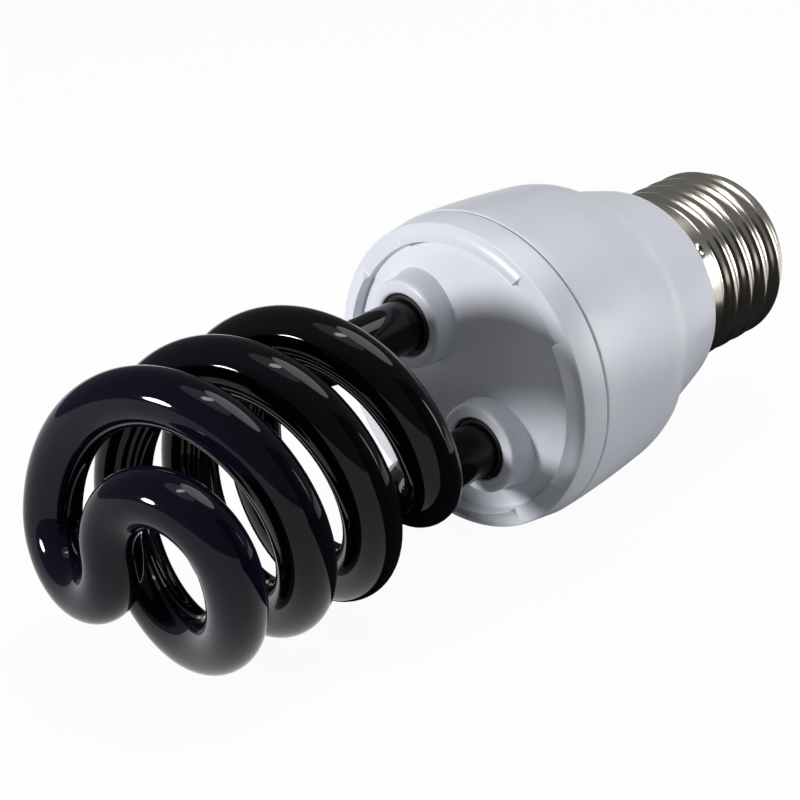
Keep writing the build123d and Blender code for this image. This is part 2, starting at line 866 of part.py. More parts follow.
# Lying diodes, resistors and the trigger diode
with BuildPart() as rectifier_diodes:
    for place in diode_places:
        add(axial_part(place, diode_length, diode_radius))
rectifier_diodes.part.label = "rectifier_diodes"
export_step(rectifier_diodes.part, "parts/rectifier_diodes.step")

with BuildPart() as resistors:
    for place in resistor_places:
        add(axial_part(place, resistor_length, resistor_radius))
resistors.part.label = "resistors"
export_step(resistors.part, "parts/resistors.step")

trigger_diode = axial_part(trigger_place, trigger_length, trigger_radius)
trigger_diode.label = "trigger_diode"
export_step(trigger_diode, "parts/trigger_diode.step")

# Start thermistor, a standing disc
with BuildPart() as disc:
    with BuildSketch(Plane(
        origin=placed(*thermistor_place[:2], board_back + thermistor_lift + thermistor_radius),
        z_dir=direction(thermistor_place[2] + 90),
    )):
        Circle(thermistor_radius)
    extrude(amount=thermistor_thickness / 2, both=True)
thermistor = with_leads(
    disc.part,
    row_spots(thermistor_place, thermistor_lead_pitch / 2),
    thermistor_lift + thermistor_radius,
)
thermistor.label = "thermistor"
export_step(thermistor, "parts/thermistor.step")

# Mains filter choke: a drum core and its winding
with BuildPart() as drum:
    with BuildSketch(section(*drum_place[:2], board_back)):
        Polygon(
            (0, 0),
            (0, drum_radius),
            (drum_flange, drum_radius),
            (drum_flange, drum_neck_radius),
            (drum_height - drum_flange, drum_neck_radius),
            (drum_height - drum_flange, drum_radius),
            (drum_height, drum_radius),
            (drum_height, 0),
            align=None,
        )
    revolve(axis=line_along(*drum_place[:2]))
filter_core = with_leads(drum.part, row_spots(drum_place, drum_lead_pitch / 2))
filter_core.label = "filter_core"
export_step(filter_core, "parts/filter_core.step")

with BuildPart() as filter_winding:
    with BuildSketch(across(board_back + drum_flange + coil_gap)):
        with Locations(drum_place[:2]):
            Circle(drum_radius - drum_winding_inset)
            Circle(drum_neck_radius + coil_gap, mode=Mode.SUBTRACT)
    extrude(amount=drum_height - 2 * (drum_flange + coil_gap))
filter_winding.part.label = "filter_winding"
export_step(filter_winding.part, "parts/filter_winding.step")

# Fusible resistor in the neck, in its sleeve, on the wire from the board to the centre contact
with BuildPart() as fuse_resistor:
    with BuildSketch(across(fuse_start)):
        Circle(fuse_radius)
    extrude(amount=fuse_length)
    fillet(fuse_resistor.edges(), fuse_round)
    with BuildSketch(across(board_front - lead_stub)):
        Circle(lead_radius)
    extrude(amount=contact_start + contact_thickness / 2 - solder_gap - board_front + lead_stub)
fuse_resistor.part.label = "fuse_resistor"
export_step(fuse_resistor.part, "parts/fuse_resistor.step")

with BuildPart() as fuse_sleeve:
    with BuildSketch(across(fuse_start - sleeve_overhang)):
        Circle(fuse_radius + sleeve_gap + sleeve_wall)
        Circle(fuse_radius + sleeve_gap, mode=Mode.SUBTRACT)
    extrude(amount=fuse_length + 2 * sleeve_overhang)
fuse_sleeve.part.label = "fuse_sleeve"
export_step(fuse_sleeve.part, "parts/fuse_sleeve.step")

# Wire from the board to the cap's shell, folded back over the spigot's edge
inner_spot = polar(shell_lead_place_radius, shell_lead_angle)
outer_spot = polar(folded_radius, shell_lead_angle)
fold_station = spigot_end + shell_lead_over
shell_lead = wire(
    [
        (*inner_spot, board_front - lead_stub),
        (*inner_spot, fold_station),
        (*outer_spot, fold_station),
        (*outer_spot, spigot_end - shell_lead_tail),
    ],
    shell_lead_bend,
    shell_lead_radius,
)
shell_lead.label = "shell_lead"
export_step(shell_lead, "parts/shell_lead.step")
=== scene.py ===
"""Dresses the insect trap bulb: black spiral tube, white housing and nickel screw cap.

Lengths are in millimetres in the lamp's own frame until a mesh is made. A station is a distance
along the bulb's axis from the cover's rim, and an angle is counted from the top towards -Y.
"""

import logging
from dataclasses import dataclass, field
from enum import Enum
from math import atan, ceil, cos, hypot, pi, radians, sin, tan
from typing import Callable, Sequence

import bmesh
import bpy
from mathutils import Matrix, Vector


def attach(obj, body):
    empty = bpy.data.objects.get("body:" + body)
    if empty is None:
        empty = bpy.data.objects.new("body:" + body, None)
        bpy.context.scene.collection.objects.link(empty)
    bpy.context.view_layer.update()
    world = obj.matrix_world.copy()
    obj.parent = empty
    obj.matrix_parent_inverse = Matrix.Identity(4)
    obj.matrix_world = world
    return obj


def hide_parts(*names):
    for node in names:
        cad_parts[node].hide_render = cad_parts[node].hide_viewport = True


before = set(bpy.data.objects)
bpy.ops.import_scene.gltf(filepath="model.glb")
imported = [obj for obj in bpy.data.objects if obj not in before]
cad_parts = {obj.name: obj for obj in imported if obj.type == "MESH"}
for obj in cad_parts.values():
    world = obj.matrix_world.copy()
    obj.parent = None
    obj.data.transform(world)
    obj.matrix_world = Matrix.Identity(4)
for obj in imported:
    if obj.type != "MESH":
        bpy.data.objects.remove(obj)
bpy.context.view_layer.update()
log = logging.getLogger("bulb")

Spot = tuple[float, float, float]
Profile = list[tuple[float, float]]
Node = bpy.types.Node
Socket = bpy.types.NodeSocket
Tree = bpy.types.NodeTree
Solid = bpy.types.Object

# Noise values between which a patch turns from one colour to the other, and from shiny to dull
COLOUR_EDGES = (0.35, 0.65)
SHEEN_EDGES = (0.3, 0.7)
# Refractive index of glass and of moulded plastic
CLEAR_IOR = 1.5
# Lengths below which two points are one, and below which an edge of a mesh has none
JOIN_DISTANCE = 1e-6
EDGE_DISTANCE = 1e-7
# A profile's corner above this angle in degrees is flat and stays as it is
FLAT_CORNER = 155.0
# The most that a rounding takes of a profile's run
ROUNDING_SHARE = 0.45


# Colour and shader helpers
def linear(hex_colour: str) -> tuple[float, float, float, float]:
    """Turns an sRGB hex colour into linear red, green, blue and alpha.

    Args:
        hex_colour: Six hex digits after a hash.

    Returns:
        The linear colour with an alpha of 1.
    """
    channels = [int(hex_colour[place:place + 2], 16) / 255 for place in (1, 3, 5)]
    flat = [c / 12.92 if c <= 0.04045 else ((c + 0.055) / 1.055) ** 2.4 for c in channels]
    return (flat[0], flat[1], flat[2], 1.0)


def add_node(
    tree: Tree,
    kind: str,
    settings: dict[str, object] | None = None,
    inputs: dict[str | int, object] | None = None,
) -> Node:
    """Adds one shader node with its settings, socket values and links.

    Args:
        tree: The node tree that gets the node.
        kind: Blender's name of the node's class.
        settings: Attributes of the node.
        inputs: Values or output sockets by input name or number.

    Returns:
        The new node.
    """
    node = tree.nodes.new(kind)
    for key, value in (settings or {}).items():
        setattr(node, key, value)
    for key, value in (inputs or {}).items():
        if isinstance(value, Socket):
            tree.links.new(value, node.inputs[key])
        else:
            node.inputs[key].default_value = value
    return node


@dataclass(frozen=True)
class Finish:
    """A surface finish made from one principled shader."""

    name: str
    colour: str
    roughness: float
    metallic: float = 0.0

    def material(self) -> bpy.types.Material:
        """Builds the material once and gives it back.

        Returns:
            The material for this finish.
        """
        known = bpy.data.materials.get(self.name)
        if known:
            return known
        made = bpy.data.materials.new(self.name)
        made.use_nodes = True
        shader = made.node_tree.nodes["Principled BSDF"]
        shader.inputs["Base Color"].default_value = linear(self.colour)
        shader.inputs["Roughness"].default_value = self.roughness
        shader.inputs["Metallic"].default_value = self.metallic
        self.detail(shader)
        return made

    def detail(self, shader: Node) -> None:
        """Adds the finish's own nodes to the material of a principled shader."""

    def clouds(self, shader: Node, size_mm: float, low: float, high: float) -> tuple[Socket, Socket]:
        """Adds soft patches of noise, which the roughness follows.

        Args:
            shader: The material's principled shader.
            size_mm: How large the patches are.
            low: Lowest roughness.
            high: Highest roughness.

        Returns:
            The sockets of the object's coordinates and of the noise.
        """
        tree = shader.id_data
        place = add_node(tree, "ShaderNodeTexCoord").outputs["Object"]
        noise = add_node(tree, "ShaderNodeTexNoise", {}, {
            "Vector": place, "Scale": 1000 / size_mm, "Detail": 3.0,
        }).outputs["Fac"]
        rough = add_node(tree, "ShaderNodeMapRange", {}, {
            "Value": noise, "From Min": SHEEN_EDGES[0], "From Max": SHEEN_EDGES[1],
            "To Min": low, "To Max": high,
        })
        tree.links.new(rough.outputs["Result"], shader.inputs["Roughness"])
        return place, noise

    def mottle(self, shader: Node, other: str, size_mm: float, low: float, high: float) -> Socket:
        """Varies colour and roughness softly over the surface.

        Args:
            shader: The material's principled shader.
            other: The hex colour at the other end of the variation.
            size_mm: How large the patches are.
            low: Lowest roughness.
            high: Highest roughness.

        Returns:
            The socket of the object's coordinates.
        """
        place, noise = self.clouds(shader, size_mm, low, high)
        ramp = add_node(shader.id_data, "ShaderNodeValToRGB", {}, {"Fac": noise})
        for stop, edge, colour in zip(ramp.color_ramp.elements, COLOUR_EDGES, (self.colour, other)):
            stop.position = edge
            stop.color = linear(colour)
        shader.id_data.links.new(ramp.outputs["Color"], shader.inputs["Base Color"])
        return place

    def grain(self, shader: Node, place: Socket, size_mm: float, height_mm: float, share: float) -> None:
        """Adds a fine bump to the surface.

        Args:
            shader: The material's principled shader.
            place: The socket of the coordinates that the bumps follow.
            size_mm: Size of one bump.
            height_mm: Its height.
            share: How much of the bump shows.
        """
        tree = shader.id_data
        noise = add_node(tree, "ShaderNodeTexNoise", {}, {"Vector": place, "Scale": 1000 / size_mm})
        bump = add_node(tree, "ShaderNodeBump", {}, {
            "Height": noise.outputs["Fac"], "Distance": height_mm / 1000, "Strength": share,
        })
        tree.links.new(bump.outputs["Normal"], shader.inputs["Normal"])


@dataclass(frozen=True)
class BlackGlass(Finish):
    """Blown glass tube, nearly black with nickel oxide in it, with a painted deep violet sheen near the tip.
    """

    # Painted sheen: the base colour is this violet at the tip and turns to the glass's own black further
    # back
    violet: str = "#0d0918"
    painted_sheen_full_mm: float = -56.0
    painted_sheen_gone_mm: float = -36.0
    patch_mm: float = 28.0
    rough_low: float = 0.03
    rough_high: float = 0.06
    gloss: float = 0.2
    wave_mm: float = 9.0
    wave_height_mm: float = 0.12
    wave_share: float = 0.35

    def detail(self, shader: Node) -> None:
        """Painted violet sheen that is strongest at the tip, fire-polished gloss and the slow waves that
        bending leaves.

        Args:
            shader: The material's principled shader.
        """
        tree = shader.id_data
        place = self.clouds(shader, self.patch_mm, self.rough_low, self.rough_high)[0]
        # Painted sheen: the violet is mixed into the base colour by place along the bulb's axis, not by
        # light
        along = add_node(tree, "ShaderNodeSeparateXYZ", {}, {0: place})
        painted_sheen_fade = add_node(tree, "ShaderNodeMapRange", {}, {
            "Value": along.outputs["X"],
            "From Min": self.painted_sheen_full_mm / 1000, "From Max": self.painted_sheen_gone_mm / 1000,
        })
        painted_sheen_mix = add_node(tree, "ShaderNodeMix", {"data_type": "RGBA"}, {
            0: painted_sheen_fade.outputs["Result"], 6: linear(self.violet), 7: linear(self.colour),
        })
        tree.links.new(painted_sheen_mix.outputs[2], shader.inputs["Base Color"])
        shader.inputs["IOR"].default_value = CLEAR_IOR
        shader.inputs["Specular IOR Level"].default_value = self.gloss
        self.grain(shader, place, self.wave_mm, self.wave_height_mm, self.wave_share)


@dataclass(frozen=True)
class MouldedPlastic(Finish):
    """Injection moulded plastic with a soft gloss and a barely visible flow in its colour."""

    other: str = "#e2e5ec"
    flow_mm: float = 14.0
    smoother: float = 0.04
    rougher: float = 0.06
    seep: float = 0.06
    seep_mm: float = 2.0
    seep_scale: float = 0.5
    grain_mm: float = 0.5
    grain_height_mm: float = 0.01
    grain_share: float = 0.25

    def detail(self, shader: Node) -> None:
        """Cloudy flow marks, a fine spark-eroded grain and light that seeps in a little.

        Args:
            shader: The material's principled shader.
        """
        low, high = self.roughness - self.smoother, self.roughness + self.rougher
        place = self.mottle(shader, self.other, self.flow_mm, low, high)
        shader.inputs["IOR"].default_value = CLEAR_IOR
        shader.inputs["Subsurface Weight"].default_value = self.seep
        shader.inputs["Subsurface Radius"].default_value = (self.seep_mm / 1000,) * 3
        shader.inputs["Subsurface Scale"].default_value = self.seep_scale
        self.grain(shader, place, self.grain_mm, self.grain_height_mm, self.grain_share)


@dataclass(frozen=True)
class DrawnNickel(Finish):
    """Deep-drawn brass with a nickel plate: warm silver with drawing lines round the shell."""

    stain: str = "#c2bbae"
    stain_mm: float = 7.0
    smoother: float = 0.03
    rougher: float = 0.1
    line_mm: float = 0.22
    line_length_mm: float = 25.0
    line_height_mm: float = 0.02
    line_share: float = 0.3

    def detail(self, shader: Node) -> None:
        """Faint warm stains, and fine lines along the drawing direction.

        Args:
            shader: The material's principled shader.
        """
        low, high = self.roughness - self.smoother, self.roughness + self.rougher
        place = self.mottle(shader, self.stain, self.stain_mm, low, high)
        # The lines run round the axis, so the noise is stretched across X.
        stretched = self.line_mm / self.line_length_mm
        lines = add_node(shader.id_data, "ShaderNodeMapping", {}, {
            "Vector": place, "Scale": (1.0, stretched, stretched),
        })
        self.grain(shader, lines.outputs["Vector"], self.line_mm, self.line_height_mm, self.line_share)


@dataclass(frozen=True)
class Mottled(Finish):
    """A plain finish whose colour and sheen change a little, for parts inside the housing."""

    other: str = "#202020"
    patch_mm: float = 2.0
    bump_mm: float = 0.02
    bump_share: float = 0.5
    bumps_per_patch: float = 4.0
    rougher: float = 0.15

    def detail(self, shader: Node) -> None:
        """Small patches of a second tone over a fine bump.

        Args:
            shader: The material's principled shader.
        """
        place = self.mottle(shader, self.other, self.patch_mm, self.roughness, self.roughness + self.rougher)
        self.grain(shader, place, self.patch_mm / self.bumps_per_patch, self.bump_mm, self.bump_share)


class Finishes(Enum):
    """Every finish of the bulb, named for the material and how its surface was made; the glass also paints a
    violet sheen and the cement also paints the shade in the collars' gaps.
    """

    BLACK_GLASS = BlackGlass("fire polished black glass with painted violet sheen", "#0a0b0d", 0.04)
    WHITE_ABS = MouldedPlastic("moulded white abs", "#dcdfe8", 0.32)
    # Black of the cement, which near the collars' front also paints the shade in the gap round each leg
    CEMENT_AND_GAP_SHADE = Mottled("black cement and painted gap shade", "#0c0c0d", 0.55, 0.0, "#161617", 1.5, 0.05)
    NICKEL = DrawnNickel("drawn nickel plated brass", "#d9d4c9", 0.17, 1.0)
    CAP_GLASS = Mottled("pressed black cap glass", "#0a0808", 0.12, 0.0, "#151010", 3.0, 0.01)
    SOLDER = Mottled("flowed tin solder", "#b4b4b6", 0.28, 1.0, "#9a9a9e", 1.2, 0.03)
    BOARD = Mottled("pressed phenolic paper board", "#b08a4c", 0.45, 0.0, "#9c783e", 3.0, 0.01)
    FERRITE = Mottled("sintered ferrite", "#38383a", 0.6, 0.0, "#2a2a2c", 0.8, 0.03)
    BOBBIN = Mottled("moulded black nylon", "#141414", 0.4, 0.0, "#1c1c1c", 2.0, 0.01)
    COPPER = Mottled("enamelled copper wire", "#b4602c", 0.25, 1.0, "#8e4a20", 0.5, 0.05)
    SLEEVE_FILM = Mottled("shrunk can sleeve", "#14203c", 0.25, 0.0, "#1a2848", 4.0, 0.005)
    DIPPED = Mottled("dipped epoxy coat", "#7c2414", 0.2, 0.0, "#6a1c10", 3.0, 0.02)
    EPOXY = Mottled("moulded black epoxy", "#181818", 0.5, 0.0, "#202020", 1.0, 0.01)
    LACQUER = Mottled("baked resistor lacquer", "#b89870", 0.45, 0.0, "#a8875e", 1.5, 0.01)
    DISC_COAT = Mottled("dipped green disc coat", "#3c5c34", 0.35, 0.0, "#32502c", 2.0, 0.01)
    TINNED = Mottled("tinned wire", "#b8b8bc", 0.3, 1.0, "#a0a0a4", 1.0, 0.01)
    GLASS_FIBRE = Mottled("woven glass fibre sleeve", "#d8d4c8", 0.7, 0.0, "#c4c0b2", 0.6, 0.05)


# Frame and mesh helpers
@dataclass(frozen=True)
class LampFrame:
    """Where the bulb's own axis lies in the row frame, in millimetres and radians."""

    shift: float = 0.39958
    height: float = 22.14086
    tilt: float = 0.045578

    def turn(self, up: float, side: float, station: float) -> Vector:
        """Turns a direction of the lamp into the row frame.

        Args:
            up: Part away from the axis, upwards.
            side: Part towards -Y.
            station: Part along the axis.

        Returns:
            The direction in the row frame.
        """
        lean, rise = sin(self.tilt), cos(self.tilt)
        return Vector((station * rise - up * lean, -side, station * lean + up * rise))

    def place(self, up: float, side: float, station: float) -> Vector:
        """Places a point of the lamp in the row frame, in metres.

        Args:
            up: Distance from the axis, upwards.
            side: Distance from the axis towards -Y.
            station: Distance along the axis.

        Returns:
            The point in metres.
        """
        return (self.turn(up, side, station) + Vector((self.shift, 0, self.height))) / 1000


LAMP = LampFrame()


def polar(radius: float, angle: float) -> tuple[float, float]:
    """Gives up and side of a point at an angle in degrees about the axis."""
    return radius * cos(radians(angle)), radius * sin(radians(angle))


def smooth(value: float) -> float:
    """Eases a share between 0 and 1 at both ends."""
    share = min(1.0, max(0.0, value))
    return share * share * (3 - 2 * share)


def arc(start: tuple[float, float], end: tuple[float, float], bulge: float, steps: int = 8) -> Profile:
    """Points on an arc over a chord, outwards for a positive bulge.

    Args:
        start: First station and radius.
        end: Last station and radius.
        bulge: Height of the arc over its chord.
        steps: Number of runs.

    Returns:
        The arc's points with both ends.
    """
    run, drop = end[0] - start[0], end[1] - start[1]
    length = hypot(run, drop)
    side = 1 if run >= 0 else -1
    points = []
    for step in range(steps + 1):
        share = step / steps
        lift = bulge * 4 * share * (1 - share) * side / length
        points.append((start[0] + run * share - drop * lift, start[1] + drop * share + run * lift))
    return points


def eased(points: Profile, radius: float, steps: int = 4, closed: bool = True) -> Profile:
    """Rounds a profile's sharp corners.

    Args:
        points: The profile's stations and radii.
        radius: Length that each rounding takes of its runs.
        steps: Runs in each rounding.
        closed: True if the last point joins the first.

    Returns:
        The rounded profile.
    """
    made: Profile = []
    count = len(points)
    for index, here in enumerate(points):
        if not closed and index in (0, count - 1):
            made.append(here)
            continue
        before, after = Vector(points[index - 1]), Vector(points[(index + 1) % count])
        spot = Vector(here)
        back, ahead = before - spot, after - spot
        tiny = min(back.length, ahead.length, here[1]) < JOIN_DISTANCE
        if tiny or back.angle(ahead) > radians(FLAT_CORNER):
            made.append(here)
            continue
        reach = min(radius, back.length * ROUNDING_SHARE, ahead.length * ROUNDING_SHARE)
        first, last = spot + back.normalized() * reach, spot + ahead.normalized() * reach
        for step in range(steps + 1):
            share = step / steps
            blend = first * (1 - share) ** 2 + spot * (2 * share * (1 - share)) + last * share**2
            made.append((blend[0], blend[1]))
    return made


@dataclass
class Draft:
    """Vertices and faces of a mesh that is being made."""

    spots: list[Vector] = field(default_factory=list)
    faces: list[tuple[int, ...]] = field(default_factory=list)

    def grid(self, rows: Sequence[Sequence[Vector]], round_rows: bool, round_columns: bool) -> None:
        """Adds a grid of faces.

        Args:
            rows: Rows of points, all of one length.
            round_rows: True if the last row joins the first.
            round_columns: True if each row closes on itself.
        """
        base, width, count = len(self.spots), len(rows[0]), len(rows)
        for row in rows:
            self.spots.extend(row)
        for row in range(count if round_rows else count - 1):
            for column in range(width if round_columns else width - 1):
                low, high = row * width, (row + 1) % count * width
                right = (column + 1) % width
                corners = (low + column, low + right, high + right, high + column)
                self.faces.append(tuple(base + corner for corner in corners))

    def fan(self, ring: Sequence[int], centre: Vector) -> None:
        """Closes a ring of vertices with triangles to a centre.

        Args:
            ring: Vertex numbers in order.
            centre: The middle point.
        """
        middle = len(self.spots)
        self.spots.append(centre)
        for index, corner in enumerate(ring):
            self.faces.append((corner, ring[(index + 1) % len(ring)], middle))

    def build(self, name: str, material: bpy.types.Material, sharp: float = 35.0) -> Solid:
        """Makes the object, joins doubled points and shades it smooth up to an angle.

        Args:
            name: The object's name.
            material: Its material.
            sharp: Angle in degrees above which an edge stays sharp.

        Returns:
            The new object.
        """
        mesh = bpy.data.meshes.new(name)
        mesh.from_pydata([tuple(spot) for spot in self.spots], [], self.faces)
        made = bpy.data.objects.new(name, mesh)
        bpy.context.scene.collection.objects.link(made)
        mesh.materials.append(material)
        tidy(mesh, sharp)
        return made


def tidy(mesh: bpy.types.Mesh, sharp: float) -> None:
    """Merges doubled points, points the faces outwards and sets smooth shading.

    Args:
        mesh: The mesh to clean.
        sharp: Angle in degrees above which an edge stays sharp.
    """
    work = bmesh.new()
    work.from_mesh(mesh)
    bmesh.ops.remove_doubles(work, verts=work.verts, dist=JOIN_DISTANCE)
    bmesh.ops.dissolve_degenerate(work, edges=work.edges, dist=EDGE_DISTANCE)
    bmesh.ops.recalc_face_normals(work, faces=work.faces)
    work.to_mesh(mesh)
    work.free()
    mesh.shade_smooth()
    mesh.set_sharp_from_angle(angle=radians(sharp))


def lathe(
    profile: Profile,
    angles: Sequence[float],
    up: float = 0.0,
    side: float = 0.0,
    shape: Callable[[float, float, float], tuple[float, float]] | None = None,
) -> Draft:
    """Turns a closed profile about a line along the bulb.

    Args:
        profile: Stations and radii in order.
        angles: The angles in degrees at which it is drawn.
        up: The line's place, upwards.
        side: The line's place, towards -Y.
        shape: Changes station and radius at an angle, if given.

    Returns:
        The draft of the turned solid.
    """
    rows = []
    for angle in angles:
        row = []
        for station, radius in profile:
            if shape:
                station, radius = shape(station, radius, angle)
            out = polar(radius, angle)
            row.append(LAMP.place(up + out[0], side + out[1], station))
        rows.append(row)
    draft = Draft()
    draft.grid(rows, True, True)
    return draft


def even_angles(count: int) -> list[float]:
    """Gives evenly spread angles in degrees round a turn."""
    return [360 * step / count for step in range(count)]


def settle(piece: Solid, slot: str, *nodes: str) -> None:
    """Lets a piece ride on the bulb and stand for its CAD nodes.

    Args:
        piece: The finished piece.
        slot: The record's material slot; not used.
        nodes: The CAD nodes that it replaces.
    """
    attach(piece, "root")
    if nodes:
        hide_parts(*nodes)
    log.info("%s: %d faces", piece.name, len(piece.data.polygons))


def combined(base: Solid, other: Solid, how: str) -> None:
    """Joins another solid to a base, or cuts it out, and removes the other one.

    Args:
        base: The object that keeps the result.
        other: The object that is used up.
        how: Blender's name of the operation.
    """
    step = base.modifiers.new("combine", "BOOLEAN")
    step.operation = how
    step.solver = "EXACT"
    step.object = other
    graph = bpy.context.evaluated_depsgraph_get()
    mesh = bpy.data.meshes.new_from_object(base.evaluated_get(graph))
    base.modifiers.clear()
    base.data = mesh
    bpy.data.objects.remove(other)


# Pieces of the bulb
@dataclass
class SpiralTube:
    """The sealed double spiral with its bridge over the tip and two legs."""

    radius: float = 3.7
    spiral_radius: float = 16.1
    pitch: float = 23.0
    turns: float = 1.513
    front: float = 58.0
    bridge_rise: float = 4.1
    phase: float = 263.4
    curl_radius: float = 6.5
    curl_angle: float = 76.7
    rise_radius: float = 6.5
    leg_end: float = 8.0
    bridge_steps: int = 36
    turn_steps: int = 96
    bend_steps: int = 14
    leg_steps: int = 8
    round_steps: int = 48
    sharp: float = 60.0

    def strand(self, phase: float) -> list[Spot]:
        """Follows one strand from the middle of the bridge to its end.

        Args:
            phase: Angle at which the strand starts its first turn.

        Returns:
            The strand's points as up, side and station.
        """
        points: list[Spot] = []
        slope = self.pitch / 4 / self.bridge_rise
        for step in range(self.bridge_steps):
            share = 1 - step / self.bridge_steps
            near = polar(self.spiral_radius / 2, phase)
            far = polar(self.spiral_radius / 2, phase - 180 * share)
            lift = slope * share + (3 - 2 * slope) * share**2 + (slope - 2) * share**3
            points.append((near[0] + far[0], near[1] + far[1], -self.front - self.bridge_rise * lift))
        steps = ceil(self.turns * self.turn_steps)
        for step in range(steps + 1):
            turned = self.turns * step / steps
            up, side = polar(self.spiral_radius, phase + 360 * turned)
            points.append((up, side, -self.front + self.pitch * turned))
        return points + self.leg(points[-1], phase + 360 * self.turns + 90)

    def leg(self, begin: Spot, heading: float) -> list[Spot]:
        """Curls the strand's end inwards and up into its collar.

        Args:
            begin: Last point of the turns.
            heading: Direction of travel there, in degrees.

        Returns:
            The points that follow.
        """
        climb = atan(self.pitch / (2 * pi * self.spiral_radius))
        inward = polar(self.curl_radius, heading + 90)
        points: list[Spot] = []
        for step in range(1, self.bend_steps + 1):
            turned = self.curl_angle * step / self.bend_steps
            swung = polar(self.curl_radius, heading - 90 + turned)
            rise = self.curl_radius * radians(turned) * tan(climb)
            reached = (begin[0] + inward[0] + swung[0], begin[1] + inward[1] + swung[1], begin[2] + rise)
            points.append(reached)
        up, side, station = points[-1]
        ahead = polar(1, heading + self.curl_angle)
        for step in range(1, self.bend_steps + 1):
            slope = climb + (pi / 2 - climb) * step / self.bend_steps
            reach = self.rise_radius * (sin(slope) - sin(climb))
            rise = self.rise_radius * (cos(climb) - cos(slope))
            points.append((up + ahead[0] * reach, side + ahead[1] * reach, station + rise))
        up, side, station = points[-1]
        for step in range(1, self.leg_steps + 1):
            points.append((up, side, station + (self.leg_end - station) * step / self.leg_steps))
        return points

    def legs(self) -> list[tuple[float, float]]:
        """Gives up and side of the two legs."""
        return [self.strand(self.phase + turn)[-1][:2] for turn in (0, 180)]

    def build(self) -> Solid:
        """Sweeps a circle along both strands.

        Returns:
            The tube.
        """
        first, second = self.strand(self.phase), self.strand(self.phase + 180)
        line = [LAMP.place(*spot) for spot in first[:0:-1] + second]
        across = (line[1] - line[0]).orthogonal().normalized()
        rows = []
        for index, spot in enumerate(line):
            before, after = line[max(0, index - 1)], line[min(len(line) - 1, index + 1)]
            ahead = (after - before).normalized()
            across = (across - ahead * across.dot(ahead)).normalized()
            other = ahead.cross(across)
            rows.append([
                spot + (across * cos(turn) + other * sin(turn)) * self.radius / 1000
                for turn in (2 * pi * step / self.round_steps for step in range(self.round_steps))
            ])
        draft = Draft()
        draft.grid(rows, False, True)
        last = len(rows) - 1
        draft.fan(list(range(self.round_steps)), line[0])
        draft.fan([last * self.round_steps + step for step in range(self.round_steps)], line[-1])
        made = draft.build("glass_spiral", Finishes.BLACK_GLASS.value.material(), self.sharp)
        settle(made, "black_glass", "spiral_tube")
        return made


